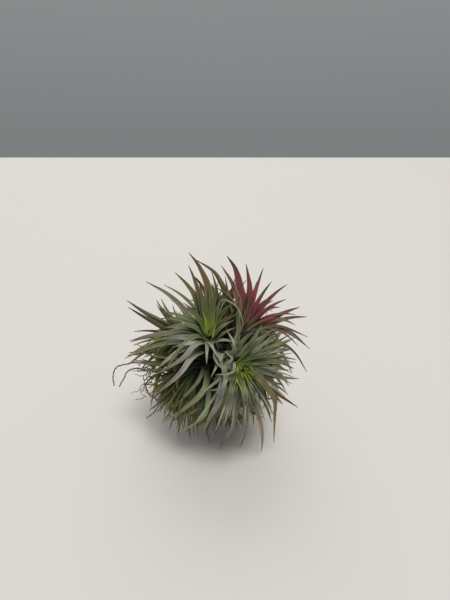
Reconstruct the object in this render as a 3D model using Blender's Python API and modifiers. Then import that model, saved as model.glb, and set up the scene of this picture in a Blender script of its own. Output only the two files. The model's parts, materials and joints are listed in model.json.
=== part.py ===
"""Air plant: a clump of small, stiff-leaved rosettes that grow outwards from one woody rootstock.

The clump lies loose on a surface and stands on the tips of its lowest leaves. Every long leaf is one
object. The short young leaves in the middle of a rosette are grown together with its heart, the
bulb-like knot of leaf bases, and each heart sits on a stub of the rootstock.

Lengths below are millimetres. +Z is up, the most open side of the clump faces -Y, and the origin is
on the ground under the middle of the clump.
"""

import math
from dataclasses import dataclass

import bmesh
import bpy
from mathutils import Matrix, Vector

MM = 0.001
GAP = 0.3  # left between pieces that touch in the real plant

# A long leaf: a channelled blade, widest just above its base, that tapers to a fine point.
LEAF_WIDTH = 4.2
LEAF_THICKNESS = 1.2
LEAF_CHANNEL = 0.5  # how far the edges stand above the midrib
LEAF_LEAN = 0.4  # its lean where it leaves the bulb, as a share of the angle from the axis to its tip
LEAF_SECTIONS = 9
TIP_WIDTH = 0.5

# A heart: a bulb, turned about the rosette's axis, as (height along the axis, radius).
BULB = ((4.0, 0.8), (2.5, 2.0), (0.0, 2.9), (-3.0, 3.9), (-6.0, 4.6), (-8.5, 3.4), (-9.5, 1.4))
BULB_STEPS = 12

# The long leaves leave the bulb in tiers, the outermost lowest.
LOWEST_TIER = -6.5
TIER_STEP = 2.7

# Young leaves, grown together with the heart.
YOUNG_COUNT = 7
YOUNG_LENGTH = 25.0
YOUNG_WIDTH = 2.6
YOUNG_THICKNESS = 1.3
YOUNG_SPREAD = 20.0  # degrees between the axis and the outermost young leaf
GOLDEN_ANGLE = math.radians(137.5)

# The rootstock: a woody knot with one stub to each heart.
KNOT_CENTRE = Vector((5, 3, 47))
KNOT_RADIUS = 5.0
STUB_RADIUS = 1.7
STUB_GAP = 1.2  # between a stub's flat end and the round foot of its heart

# Wiry roots that grow out between the leaves, by the points that each one passes.
ROOT_RADIUS = 0.4
ROOT_STEPS = 4  # straight runs between two of the points
ROOT_ROUTES = (
    (
        (-4, 3, 40), (-13, 3, 38), (-24, 2, 38), (-33, 1, 39), (-40, 0, 41),
        (-46, 0, 40), (-51, 0, 38), (-53, 0, 33), (-53, 0, 27),
    ),
    (
        (-3, 0, 38), (-13, 0, 35), (-24, -1, 35), (-34, -1, 37), (-41, -1, 38),
        (-45, -1, 36), (-47, -1, 32), (-50, -1, 27),
    ),
    (
        (-1, 4, 37), (-12, 6, 33), (-23, 6, 30), (-31, 5, 30), (-36, 3, 27),
        (-35, 1, 22), (-31, 1, 18), (-30, 3, 13), (-33, 5, 7), (-38, 6, 2),
    ),
)

GREEN = (0.25, 0.33, 0.18)
SILVER_GREEN = (0.36, 0.41, 0.33)
LIME = (0.36, 0.47, 0.12)
RED = (0.42, 0.13, 0.13)
OLIVE = (0.30, 0.28, 0.13)
WOOD = (0.20, 0.13, 0.08)


@dataclass
class Rosette:
    """heart: the bulb's place. axis: the way it faces. tiers: where its long leaves end, outermost first."""

    name: str
    heart: tuple
    axis: tuple
    colour: tuple
    tiers: tuple
    size: float = 1.0

    def __post_init__(self):
        self.heart = Vector(self.heart)
        self.axis = Vector(self.axis).normalized()


ROSETTES = (
    Rosette(
        "upper", (-1, -14, 63), (-0.10, -0.45, 0.89), SILVER_GREEN,
        tiers=(
            ((-25, -39, 45), (-41, -20, 54), (-31, -6, 88), (14, -26, 79)),
            ((-25, -30, 53), (-39, -15, 61), (-17, -4, 92)),
            ((-10, -5, 102),),
        ),
    ),
    Rosette(
        "red", (18, 6, 58), (0.55, 0.25, 0.80), RED, size=1.1,
        tiers=(
            ((49, -8, 40), (54, 12, 43), (5, 12, 91)),
            ((50, 0, 56), (54, 25, 57), (8, 20, 94)),
            ((46, 7, 70), (18, 15, 91)),
        ),
    ),
    Rosette(
        "lime", (13, -24, 50), (0.33, -0.88, 0.33), LIME, size=0.9,
        tiers=(
            ((4, -18, 0), (32, -21, 6), (36, -18, 38)),
            ((15, -18, 1), (43, -22, 28), (38, -14, 49)),
            ((26, -20, 0), (44, -15, 40)),
        ),
    ),
    Rosette(
        "low", (-6, -10, 42), (-0.50, -0.65, -0.55), GREEN,
        tiers=(
            ((-1, -21, 6), (-33, -2, 21)),
            ((-10, -8, 1), (-26, -8, 10)),
            ((-19, -6, 0), (-32, -16, 22)),
        ),
    ),
    Rosette(
        "left", (-13, 4, 51), (-0.85, 0.30, 0.10), OLIVE,
        tiers=(
            ((-41, -4, 74), (-42, -6, 50), (-38, 24, 26)),
            ((-45, 11, 72), (-46, 6, 42)),
        ),
    ),
    Rosette("pup", (6, -18, 56), (0.10, -0.85, 0.50), SILVER_GREEN, size=0.6, tiers=()),
    Rosette(
        "back_top", (1, 16, 61), (0.00, 0.60, 0.80), GREEN,
        tiers=(
            ((-8, 12, 94), (-28, 32, 74), (20, 44, 64)),
            ((19, 31, 77), (-12, 38, 80), (0, 46, 70)),
        ),
    ),
    Rosette(
        "back_low", (2, 22, 42), (0.10, 0.98, 0.05), GREEN,
        tiers=(
            ((-14, 36, 0), (14, 38, 0), (-22, 42, 58)),
            ((32, 38, 20), (-30, 38, 22), (24, 44, 58)),
            ((2, 46, 16),),
        ),
    ),
)


def bezier(a, b, c, t):
    """A point on the quadratic curve from a to c that leaves a towards b."""
    return a * (1 - t) ** 2 + b * (2 * t * (1 - t)) + c * t**2


def bezier_direction(a, b, c, t):
    return ((b - a) * (1 - t) + (c - b) * t).normalized()


def blade_section(half_width, thickness, channel):
    """The leaf's outline across, as (sideways, up): six points, hollow above and round below."""
    return (
        (-half_width, channel),
        (0, 0),
        (half_width, channel),
        (half_width / 2, channel / 4 - thickness * 0.8),
        (0, -thickness),
        (-half_width / 2, channel / 4 - thickness * 0.8),
    )


def taper(t):
    """The share of full width at t, from 0 at the base to 1 at the tip."""
    base = 0.60 + 0.40 * min(1, t / 0.15)
    return base * (1 - t) ** 0.72


def blade(bm, start, towards, tip, side, width, thickness, sections):
    """Lofts one leaf along the curve from start to tip. side points across the blade."""
    rings = []
    for i in range(sections):
        t = i / (sections - 0.7)
        centre = bezier(start, towards, tip, t)
        along = bezier_direction(start, towards, tip, t)
        up = along.cross(side)
        share = taper(t)
        half_width = max(width * share, TIP_WIDTH) / 2
        thick = thickness * (0.35 + 0.65 * share)
        outline = blade_section(half_width, thick, LEAF_CHANNEL * share)
        rings.append([bm.verts.new((centre + side * s + up * u) * MM) for s, u in outline])
    corners = len(rings[0])
    for ring, after in zip(rings, rings[1:]):
        for i in range(corners):
            j = (i + 1) % corners
            bm.faces.new((ring[i], after[i], after[j], ring[j]))
    bm.faces.new(rings[0])
    point = bm.verts.new(tip * MM)
    last = rings[-1]
    for i in range(corners):
        bm.faces.new((last[i], point, last[(i + 1) % corners]))
    bmesh.ops.recalc_face_normals(bm, faces=bm.faces[:])


def material(name, colour, roughness=0.75):
    made = bpy.data.materials.get(name) or bpy.data.materials.new(name)
    made.use_nodes = True
    shader = made.node_tree.nodes["Principled BSDF"]
    shader.inputs["Base Color"].default_value = (*colour, 1)
    shader.inputs["Roughness"].default_value = roughness
    shader.inputs["Metallic"].default_value = 0
    return made


def new_object(name, bm, collection, finish):
    mesh = bpy.data.meshes.new(name)
    bm.to_mesh(mesh)
    bm.free()
    mesh.materials.append(finish)
    obj = bpy.data.objects.new(name, mesh)
    collection.objects.link(obj)
    return obj


def as_helper(obj):
    obj.hide_render = True
    obj.display_type = "WIRE"


def bulb_radius(height):
    """The bulb's radius at a height along the axis, in straight steps between the profile's points."""
    for (above, wide), (below, narrow) in zip(BULB, BULB[1:]):
        if below <= height <= above:
            return narrow + (wide - narrow) * (height - below) / (above - below)
    return 0.0


def long_leaves(rosette, collection):
    """One object for each long leaf, which stands just clear of the bulb and bends back to its tip."""
    axis, heart, size = rosette.axis, rosette.heart, rosette.size
    finish = material(rosette.name + "_leaf", rosette.colour)
    leaves = [(tier, Vector(tip)) for tier, tips in enumerate(rosette.tiers) for tip in tips]
    for rank, (tier, tip) in enumerate(leaves):
        outward = (tip - heart - (tip - heart).dot(axis) * axis).normalized()
        height = LOWEST_TIER + TIER_STEP * tier
        start = heart + axis * height * size
        start += outward * (bulb_radius(height) * size + GAP + LEAF_CHANNEL)
        chord = tip - start
        lean = axis.angle(chord) * LEAF_LEAN
        leaving = axis * math.cos(lean) + outward * math.sin(lean)
        towards = start + leaving * chord.length * 0.5
        side = axis.cross(outward)
        bm = bmesh.new()
        blade(bm, start, towards, tip, side, LEAF_WIDTH * size, LEAF_THICKNESS, LEAF_SECTIONS)
        new_object(f"{rosette.name}_leaf_{rank + 1:02d}", bm, collection, finish)


def turned_bulb(rosette, collection, finish):
    """The bulb, as its profile with a Screw modifier. The object's own Z is the rosette's axis."""
    bm = bmesh.new()
    points = [bm.verts.new((radius * MM, 0, height * MM)) for height, radius in BULB]
    top = bm.verts.new((0, 0, (BULB[0][0] + 0.3) * MM))
    bottom = bm.verts.new((0, 0, (BULB[-1][0] - 0.2) * MM))
    chain = [top, *points, bottom]
    for a, b in zip(chain, chain[1:]):
        bm.edges.new((a, b))
    obj = new_object(rosette.name + "_heart", bm, collection, finish)
    screw = obj.modifiers.new("turned", "SCREW")
    screw.steps = screw.render_steps = BULB_STEPS
    screw.use_merge_vertices = True
    screw.merge_threshold = 0.00001
    obj.matrix_world = placed(rosette)
    return obj


def placed(rosette):
    turn = rosette.axis.to_track_quat("Z", "Y").to_matrix().to_4x4()
    return Matrix.Translation(rosette.heart * MM) @ turn @ Matrix.Scale(rosette.size, 4)


def young_leaves(rosette, collection, finish):
    """Short upright leaves around the axis, one golden angle apart, in the rosette's own frame."""
    for i in range(YOUNG_COUNT):
        share = i / (YOUNG_COUNT - 1)
        bearing = i * GOLDEN_ANGLE
        spread = math.radians(YOUNG_SPREAD * (0.25 + 0.75 * share))
        outward = Vector((math.cos(bearing), math.sin(bearing), 0))
        axis = Vector((0, 0, 1))
        start = outward * (0.9 + 1.7 * share)
        length = YOUNG_LENGTH * (1 - 0.25 * abs(share - 0.6))
        tip = start + (axis * math.cos(spread) + outward * math.sin(spread)) * length
        towards = start + (axis + outward * 0.1) * length * 0.5
        bm = bmesh.new()
        blade(bm, start, towards, tip, axis.cross(outward), YOUNG_WIDTH, YOUNG_THICKNESS, 4)
        leaf = new_object(f"{rosette.name}_young_{i + 1}", bm, collection, finish)
        leaf.matrix_world = placed(rosette)
        as_helper(leaf)


def joined(obj, others):
    """obj with a Boolean union with every object of the collection others."""
    union = obj.modifiers.new("grown_together", "BOOLEAN")
    union.operation = "UNION"
    union.operand_type = "COLLECTION"
    union.collection = others
    union.solver = "EXACT"


def collection_in(parent, name):
    made = bpy.data.collections.new(name)
    parent.children.link(made)
    return made


def heart_of(rosette, collection, helpers):
    finish = material(rosette.name + "_heart", LIME)
    bulb = turned_bulb(rosette, collection, finish)
    young = collection_in(helpers, rosette.name + "_young")
    young_leaves(rosette, young, finish)
    joined(bulb, young)


def rootstock(collection, helpers):
    """A woody knot with a tapered stub that ends just short of each heart."""
    finish = material("rootstock", WOOD, 0.9)
    bm = bmesh.new()
    bmesh.ops.create_uvsphere(bm, u_segments=12, v_segments=8, radius=KNOT_RADIUS * MM)
    knot = new_object("rootstock", bm, collection, finish)
    knot.location = KNOT_CENTRE * MM
    stubs = collection_in(helpers, "stubs")
    for rosette in ROSETTES:
        foot = rosette.heart + rosette.axis * (BULB[-1][0] * rosette.size - STUB_GAP)
        run = foot - KNOT_CENTRE
        bm = bmesh.new()
        bmesh.ops.create_cone(
            bm, cap_ends=True, segments=8, depth=run.length * MM,
            radius1=STUB_RADIUS * 1.4 * MM, radius2=STUB_RADIUS * MM,
        )
        stub = new_object("stub_" + rosette.name, bm, stubs, finish)
        turn = run.to_track_quat("Z", "Y").to_matrix().to_4x4()
        stub.matrix_world = Matrix.Translation((KNOT_CENTRE + run / 2) * MM) @ turn
        as_helper(stub)
    joined(knot, stubs)


def smooth(points, steps):
    """Points on a smooth curve through the given ones, steps apart in each run between two."""
    ends = [points[0] * 2 - points[1], *points, points[-1] * 2 - points[-2]]
    for before, a, b, after in zip(ends, ends[1:], ends[2:], ends[3:]):
        for i in range(steps):
            t = i / steps
            near = a * 2 + (b - before) * t
            bend = (before * 2 - a * 5 + b * 4 - after) * t**2
            yield (near + bend + (a * 3 - before - b * 3 + after) * t**3) / 2
    yield points[-1]


def roots(collection):
    finish = material("root", WOOD, 0.9)
    for i, route in enumerate(ROOT_ROUTES):
        points = list(smooth([Vector(point) for point in route], ROOT_STEPS))
        curve = bpy.data.curves.new(f"root_{i + 1}", "CURVE")
        curve.dimensions = "3D"
        curve.bevel_depth = ROOT_RADIUS * MM
        curve.bevel_resolution = 2
        curve.use_fill_caps = True
        curve.materials.append(finish)
        spline = curve.splines.new("POLY")
        spline.points.add(len(points) - 1)
        for spot, point in zip(spline.points, points):
            spot.co = (*(point * MM), 1)
        collection.objects.link(bpy.data.objects.new(curve.name, curve))


def main():
    for obj in list(bpy.data.objects):
        bpy.data.objects.remove(obj)
    scene = bpy.context.scene.collection
    plant = collection_in(scene, "air_plant")
    helpers = collection_in(scene, "helpers")
    rootstock(plant, helpers)
    roots(plant)
    for rosette in ROSETTES:
        heart_of(rosette, plant, helpers)
        long_leaves(rosette, plant)


main()
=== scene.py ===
"""The air plant's finish: every blade, heart and root as it looks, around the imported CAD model.

Each long CAD leaf is replaced by a thin channelled blade along the same line. Of the shorter leaves,
those that show are placed one by one, and the rest fill each rosette by the golden angle round the
rosette's own axis, which is read from its CAD heart. Lengths are millimetres unless a comment says
otherwise, and Blender's own settings are in Blender's units.
"""

import json
import math
from dataclasses import dataclass

import bpy
import numpy as np
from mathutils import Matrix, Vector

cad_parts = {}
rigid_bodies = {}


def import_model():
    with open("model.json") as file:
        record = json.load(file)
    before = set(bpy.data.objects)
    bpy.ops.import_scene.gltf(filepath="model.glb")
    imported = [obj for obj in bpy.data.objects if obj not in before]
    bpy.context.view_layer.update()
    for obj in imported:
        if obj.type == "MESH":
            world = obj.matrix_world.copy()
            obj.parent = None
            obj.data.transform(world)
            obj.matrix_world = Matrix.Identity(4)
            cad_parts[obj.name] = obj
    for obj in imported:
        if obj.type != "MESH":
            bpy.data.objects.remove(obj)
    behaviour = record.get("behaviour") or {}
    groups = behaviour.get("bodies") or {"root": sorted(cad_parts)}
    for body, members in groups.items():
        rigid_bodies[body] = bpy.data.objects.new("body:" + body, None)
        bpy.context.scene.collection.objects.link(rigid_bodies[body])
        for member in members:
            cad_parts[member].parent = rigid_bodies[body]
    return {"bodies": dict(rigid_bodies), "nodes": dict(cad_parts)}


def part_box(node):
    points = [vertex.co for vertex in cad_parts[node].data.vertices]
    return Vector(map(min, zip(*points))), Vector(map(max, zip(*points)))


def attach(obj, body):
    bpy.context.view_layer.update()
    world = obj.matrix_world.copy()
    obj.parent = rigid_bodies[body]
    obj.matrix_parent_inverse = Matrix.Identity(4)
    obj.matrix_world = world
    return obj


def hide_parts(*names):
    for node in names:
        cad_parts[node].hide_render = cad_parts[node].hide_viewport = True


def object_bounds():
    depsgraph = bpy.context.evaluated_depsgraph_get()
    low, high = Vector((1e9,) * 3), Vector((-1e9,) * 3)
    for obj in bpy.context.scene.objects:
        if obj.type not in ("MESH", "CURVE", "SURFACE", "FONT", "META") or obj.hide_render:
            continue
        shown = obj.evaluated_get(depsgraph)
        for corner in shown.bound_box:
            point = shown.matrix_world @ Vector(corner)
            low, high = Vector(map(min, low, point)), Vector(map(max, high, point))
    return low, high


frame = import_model()
cad_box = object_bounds()

BODY = next(iter(frame["bodies"]))
MM = 0.001
SEED = 7
GOLDEN_ANGLE = math.radians(137.5)
UP = np.array((0.0, 0.0, 1.0))


# ------------------------------ reading the frame


def unit(vector):
    return vector / np.linalg.norm(vector)


def corners_of(node):
    """A CAD node's corners, each once, and for each corner those that it shares a face with."""
    mesh = frame["nodes"][node].data
    flat = np.empty(len(mesh.vertices) * 3)
    mesh.vertices.foreach_get("co", flat)
    corners, index = np.unique((flat.reshape(-1, 3) / MM).round(3), axis=0, return_inverse=True)
    index = index.ravel()
    near = [set() for _ in corners]
    for face in mesh.polygons:
        ids = [int(index[v]) for v in face.vertices]
        for i in ids:
            near[i].update(ids)
    return corners, near


def rings_of(node, foot, end_size):
    """A CAD leaf's or root's cross-sections, as arrays of corners, from the end near foot outwards.

    end_size is how far from its farthest corner the other corners of that end may lie.
    """
    corners, near = corners_of(node)
    far = corners[np.argmax(np.linalg.norm(corners - foot, axis=1))]
    ring = set(np.flatnonzero(np.linalg.norm(corners - far, axis=1) <= end_size).tolist())
    seen, rings = set(ring), []
    while ring:
        rings.append(corners[sorted(ring)])
        ring = set().union(*(near[i] for i in ring)) - seen
        seen |= ring
    return rings[::-1]


def centre_of(node):
    low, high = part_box(node)
    return (np.array(low) + np.array(high)) / 2 / MM


KNOT = centre_of("rootstock")


def rosette_line(name):
    """The foot of a rosette's bulb and the direction it faces, from the long axis of its CAD heart."""
    corners, _ = corners_of(name + "_heart")
    middle = corners.mean(axis=0)
    axis = np.linalg.svd(corners - middle)[2][0]
    axis = axis if axis @ (middle - KNOT) > 0 else -axis
    return middle + axis * ((corners - middle) @ axis).min(), axis


# ------------------------------ colours


def linear(code):
    """A colour written as sRGB hex, as linear values."""
    parts = np.array([int(code[i : i + 2], 16) for i in (0, 2, 4)]) / 255
    return np.where(parts <= 0.04045, parts / 12.92, ((parts + 0.055) / 1.055) ** 2.4)


@dataclass
class Look:
    """A leaf's colours, each after its place from base to tip, and how frosted with scale hairs it is."""

    stops: str
    frost: float

    def tint(self, t):
        stops = [stop.split() for stop in self.stops.split(",")]
        places = [float(place) for place, _ in stops]
        colours = np.array([linear(code) for _, code in stops])
        return np.stack([np.interp(t, places, colours[:, i]) for i in range(3)], axis=-1)


LOOKS = {
    # The bright yellow-green base stops of lime, bud, young, lit, core and fresh are partly the young leaf
    # bases' own colour and partly painted light: the glow of light shining through the thin bases, put into
    # the colour.
    "lime": Look("0 c8d834, 0.45 a2b82e, 0.8 869c32, 1 6c7e3e", 0.05),
    "bud": Look("0 bcc848, 0.5 92a83c, 1 74843e", 0.2),
    "dusk": Look("0 5a6e34, 0.3 667446, 0.55 787464, 0.75 666c4c, 1 484a36", 0.4),
    "young": Look("0 d2e434, 0.28 b4c832, 0.48 7e9240, 0.8 687456, 1 4c4636", 0.25),
    "lit": Look("0 b8cc32, 0.16 90a43a, 0.35 6c8248, 0.65 6c7a56, 1 4c4636", 0.4),
    "core": Look("0 b4c63c, 0.16 96aa36, 0.32 728834, 0.5 5a6e32, 0.85 545832, 1 3a3626", 0.15),
    "fresh": Look("0 ccdc40, 0.14 869c36, 0.35 5e7238, 0.65 5c6436, 0.85 584e30, 1 3a3528", 0.25),
    "bronze": Look("0 76882c, 0.3 6a7040, 0.5 6f5e3e, 0.8 6e5036, 1 34302a", 0.3),
    "sage": Look("0 5c7230, 0.2 5a6c40, 0.6 687656, 0.85 6c6a4c, 1 4c4636", 0.5),
    # The mauve look is partly the purple-grey scale hairs' own colour and partly painted light: brightened
    # so that leaves lying in shade look lit.
    "mauve": Look("0 626e4c, 0.25 86867a, 0.55 9c9492, 0.8 8c8068, 1 74664a", 0.7),
    "pale": Look("0 586c4c, 0.3 7e8c78, 0.7 949e8c, 1 7c8672", 0.7),
    # The pearl look's near-white middle is partly the silvery scale hairs' own colour and partly a painted
    # highlight.
    "pearl": Look("0 6e7a5c, 0.25 989890, 0.55 b4aeb0, 0.8 a49c8c, 1 8c8068", 0.8),
    "silver": Look("0 5e7446, 0.25 82907a, 0.6 98a28e, 0.85 92907c, 1 70614e", 0.9),
    "plum": Look("0 5a6a3c, 0.25 787c68, 0.5 8c8884, 0.75 868470, 1 6c6044", 0.7),
    "amber": Look("0 5e6a38, 0.35 6e5e3c, 0.6 88803e, 1 8c8450", 0.3),
    "olive": Look("0 4c5a24, 0.4 5e6034, 0.75 6a6038, 1 443826", 0.3),
    # The dark and moss looks are partly the leaves' own olive colour and partly painted shade: darkened for
    # the shadow between and deep inside the leaves, and dark is the look of the inner leaves of most
    # rosettes and tufts.
    "dark": Look("0 222e10, 0.35 38441a, 0.75 565a26, 1 6c6234", 0.2),
    # The near-black base of hay is painted shade, where these leaves come out of the dark hollow; the rest
    # is the leaf's own colour.
    "hay": Look("0 20260f, 0.2 4a5732, 0.4 7a8864, 0.75 969c72, 1 ac9e74", 0.7),
    "moss": Look("0 323e14, 0.35 4c5a22, 0.75 707434, 1 7c6c40", 0.2),
    "blush": Look("0 565e32, 0.34 625036, 0.54 783a3a, 0.76 7e3c48, 0.9 524442, 1 2c2826", 0.3),
    "red": Look("0 5a6036, 0.2 66483a, 0.4 803238, 0.65 863844, 0.84 504644, 1 2c2826", 0.3),
    "rust": Look("0 5c6434, 0.3 6e5a3a, 0.6 7c5446, 0.85 5c4a40, 1 3c3630", 0.3),
    "arch": Look("0 566236, 0.35 565636, 0.7 5a4a36, 1 362c24", 0.25),
    "tan": Look("0 6e7a54, 0.3 88887a, 0.6 988870, 1 8e7c62", 0.5),
    "straw": Look("0 6a6c4c, 0.4 8c8266, 1 86785e", 0.3),
    # The near-black base of deep is painted shade, where these leaves come out of the dark hollow; the rest
    # is the leaf's own colour.
    "deep": Look("0 20260f, 0.15 3c4626, 0.35 66725a, 0.6 7c8864, 0.85 868a52, 1 807c48", 0.6),
    # The near-black look below is partly the old leaves' own brown and partly painted shade: darkened so
    # that the lit thatch reads as the shadow deep in the clump.
    "dead_and_shaded": Look("0 0e0b07, 0.5 1c170e, 1 342e1e", 0.0),
}


# ------------------------------ blades


SECTIONS = 30
# The corners of a blade's section, from -1 at one edge to 1 at the other: over its hollow face, then
# back below it.
OVER = np.array([-1, -0.72, -0.38, 0, 0.38, 0.72, 1])
BELOW = OVER[-2:0:-1]
ACROSS = np.concatenate([OVER, BELOW])
IS_OVER = np.concatenate([np.ones(len(OVER)), np.zeros(len(BELOW))])

# How far the edges curl up, at these shares of a blade's length.
CURL_PLACES = (0, 0.2, 0.7, 1)
CURLS = tuple(math.radians(degrees) for degrees in (62, 38, 38, 70))

THICKNESS = 0.8
LEAST_WIDTH = 0.16
EDGE_THINNING = 0.6
TURNED_BY = 0.6  # the share of its length over which a blade turns to the open side
OPEN_SIDE = unit(np.array((0.05, -0.8, 0.6)))  # from which the clump is seen and lit

# How much one blade differs from the next by chance.
GRAIN_SHIFT = 90
SHADES = (0.86, 1.16)
HUE_SHIFT = 0.05
TINT_SHIFT = 0.06


def through(points, count):
    """count points, evenly spaced, on a smooth curve through the given ones."""
    points = np.asarray(points, float)
    ends = np.vstack([2 * points[0] - points[1], points, 2 * points[-1] - points[-2]])
    t = np.linspace(0, 1, 8, endpoint=False)[:, None]
    runs = []
    for before, a, b, after in zip(ends, ends[1:], ends[2:], ends[3:]):
        bend = (2 * before - 5 * a + 4 * b - after) * t**2
        runs.append((2 * a + (b - before) * t + bend + (3 * a - before - 3 * b + after) * t**3) / 2)
    dense = np.vstack([*runs, points[-1:]])
    run = np.concatenate([[0], np.cumsum(np.linalg.norm(np.diff(dense, axis=0), axis=1))])
    places = np.linspace(0, run[-1], count)
    return np.stack([np.interp(places, run, dense[:, i]) for i in range(3)], axis=-1)


def bent_line(start, knee, tip, count):
    """count points on a quadratic curve from start to tip, which knee pulls aside."""
    t = np.linspace(0, 1, count)[:, None]
    return start * (1 - t) ** 2 + knee * 2 * t * (1 - t) + tip * t**2


def width_share(t):
    """A blade's width at t: it widens a little above its foot, then narrows to a fine point."""
    foot = 0.78 + 0.22 * np.minimum(1, t / 0.14)
    return foot * np.maximum(1 - t, 0) ** 0.84


def arc(half, curls, places, depth=0.0):
    """Points across a blade, on an arc that curls its edges up, or depth below that arc."""
    radius = half / np.sin(np.minimum(curls, math.pi / 2))
    angle = curls * places
    return np.stack([(radius + depth) * np.sin(angle), radius - (radius + depth) * np.cos(angle)], axis=-1)


def blade_axes(spine, side, twist, turned):
    """The directions across a blade and up from its hollow face, at each point of its spine."""
    along = np.gradient(spine, axis=0)
    along /= np.linalg.norm(along, axis=1)[:, None]
    t = np.linspace(0, 1, len(spine))
    broad = np.cross(along, OPEN_SIDE)
    broad *= math.copysign(1, (broad @ side).sum())
    swung = (turned * np.clip(t / TURNED_BY, 0, 1))[:, None]
    side = side * (1 - swung) + broad * swung
    across = side - along * np.sum(along * side, axis=1)[:, None]
    across /= np.linalg.norm(across, axis=1)[:, None]
    up = np.cross(along, across)
    turn = (twist * t)[:, None]
    return across * np.cos(turn) + up * np.sin(turn), up * np.cos(turn) - across * np.sin(turn)


def skin(sections, corners, start=0):
    """Faces over rings of corners that follow each other from index start, closed at both ends."""
    faces = []
    for i in range(sections - 1):
        ring = start + i * corners
        for j in range(corners):
            k = (j + 1) % corners
            faces.append((ring + j, ring + k, ring + corners + k, ring + corners + j))
    last = start + (sections - 1) * corners
    faces.append(tuple(range(start, start + corners))[::-1])
    faces.append(tuple(range(last, last + corners)))
    return faces


def mesh_of(name, points, faces):
    mesh = bpy.data.meshes.new(name)
    mesh.from_pydata((points * MM).tolist(), [], faces)
    return mesh


def add_piece(name, mesh, material, nodes=()):
    """Makes an object of the mesh, smooth, that rides on the plant and stands for the CAD nodes."""
    mesh.materials.append(material)
    mesh.shade_smooth()
    obj = bpy.data.objects.new(name, mesh)
    bpy.context.scene.collection.objects.link(obj)
    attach(obj, BODY)
    if nodes:
        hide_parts(*nodes)


class Foliage:
    """Blades collected into one mesh, with the attributes that the leaf material reads."""

    def __init__(self, random):
        self.random = random
        self.points, self.faces, self.blade, self.grain, self.tint = [], [], [], [], []
        self.count = 0

    def add(self, line, side, width, look, thickness=THICKNESS, twist=0.0, sections=SECTIONS, turned=0.5):
        """Adds a blade along line, with side across it and its edges curled up towards line x side.

        twist is how far it turns by its tip, in radians, and turned how nearly, from 0 to 1, it comes
        to lie broad to the open side.
        """
        spine = through(line, sections)
        across, up = blade_axes(spine, side, twist, turned)
        t = np.linspace(0, 1, sections)
        share = width_share(t)
        half = np.maximum(width * share, LEAST_WIDTH)[:, None] / 2
        thick = (thickness * (0.18 + 0.82 * share))[:, None]
        curls = np.interp(t, CURL_PLACES, CURLS)[:, None]
        over = arc(half, curls, OVER)
        below = arc(half, curls, BELOW, thick * (1 - EDGE_THINNING * BELOW**2))
        outline = np.concatenate([over, below], axis=1)
        ring = spine[:, None] + across[:, None] * outline[..., :1] + up[:, None] * outline[..., 1:]
        self.points.append(ring.reshape(-1, 3))
        self.faces += skin(sections, len(ACROSS), self.count)
        self.count += sections * len(ACROSS)

        length = np.linalg.norm(np.diff(spine, axis=0), axis=1).sum()
        grid = np.ones((sections, len(ACROSS)))
        shift = self.random.uniform(0, GRAIN_SHIFT)
        self.keep(self.blade, grid * t[:, None], grid * ACROSS, grid * IS_OVER)
        self.keep(self.grain, ACROSS * half, grid * t[:, None] * length, grid * shift)
        shade = self.random.uniform(*SHADES) * (1 + self.random.uniform(-HUE_SHIFT, HUE_SHIFT, 3))
        colour = look.tint(np.clip(t + self.random.uniform(-TINT_SHIFT, TINT_SHIFT), 0, 1)) * shade
        rgba = np.concatenate([colour, np.full((sections, 1), look.frost)], axis=1)
        self.tint.append(np.repeat(rgba, len(ACROSS), axis=0))

    @staticmethod
    def keep(values, *parts):
        values.append(np.stack(parts, axis=-1).reshape(-1, 3))

    def piece(self, name, slot, nodes=()):
        """Makes one visible piece of all the blades."""
        mesh = mesh_of(name, np.vstack(self.points), self.faces)
        for key, kind, values, field in (
            ("blade", "FLOAT_VECTOR", self.blade, "vector"),
            ("grain", "FLOAT_VECTOR", self.grain, "vector"),
            ("tint", "FLOAT_COLOR", self.tint, "color"),
        ):
            layer = mesh.attributes.new(key, kind, "POINT")
            layer.data.foreach_set(field, np.vstack(values).astype(np.float32).ravel())
        add_piece(name, mesh, LEAF, nodes)


# ------------------------------ materials


class Nodes:
    """Short calls for building a node tree."""

    def __init__(self, name):
        self.material = bpy.data.materials.new(name)
        self.material.use_nodes = True
        self.tree = self.material.node_tree
        self.shader = self.tree.nodes["Principled BSDF"]

    def add(self, kind, inputs=(), **settings):
        node = self.tree.nodes.new("ShaderNode" + kind)
        for key, value in settings.items():
            setattr(node, key, value)
        for key, value in dict(inputs).items():
            self.put(value, node.inputs[key])
        return node

    def put(self, value, socket):
        if isinstance(value, bpy.types.NodeSocket):
            self.tree.links.new(value, socket)
        else:
            socket.default_value = value

    def math(self, operation, a, b=0.0, clamp=False):
        node = self.add("Math", {0: a, 1: b}, operation=operation, use_clamp=clamp)
        return node.outputs[0]

    def mix(self, factor, a, b, blend="MIX"):
        node = self.add("Mix", data_type="RGBA", blend_type=blend)
        self.put(factor, node.inputs["Factor"])
        self.put(a, node.inputs["A"])
        self.put(b, node.inputs["B"])
        return node.outputs["Result"]

    def span(self, value, low, high, to_low=0.0, to_high=1.0):
        """value from low..high to to_low..to_high, clamped."""
        node = self.add(
            "MapRange",
            {"Value": value, "From Min": low, "From Max": high, "To Min": to_low, "To Max": to_high},
        )
        return node.outputs["Result"]

    def noise(self, vector, stretch, detail):
        """Noise over a vector that is stretched first."""
        return self.add("TexNoise", {"Vector": self.scaled(vector, stretch), "Scale": 1.0, "Detail": detail})

    def scaled(self, vector, scale):
        node = self.add("VectorMath", {0: vector, 1: scale}, operation="MULTIPLY")
        return node.outputs["Vector"]

    def grey(self, value):
        return self.add("CombineColor", {0: value, 1: value, 2: value}).outputs[0]


WARM = (1.25, 0.98, 0.8, 1)
FROST = (0.32, 0.35, 0.25, 1)
PALE_EDGE = (0.35, 0.37, 0.26, 1)


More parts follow.
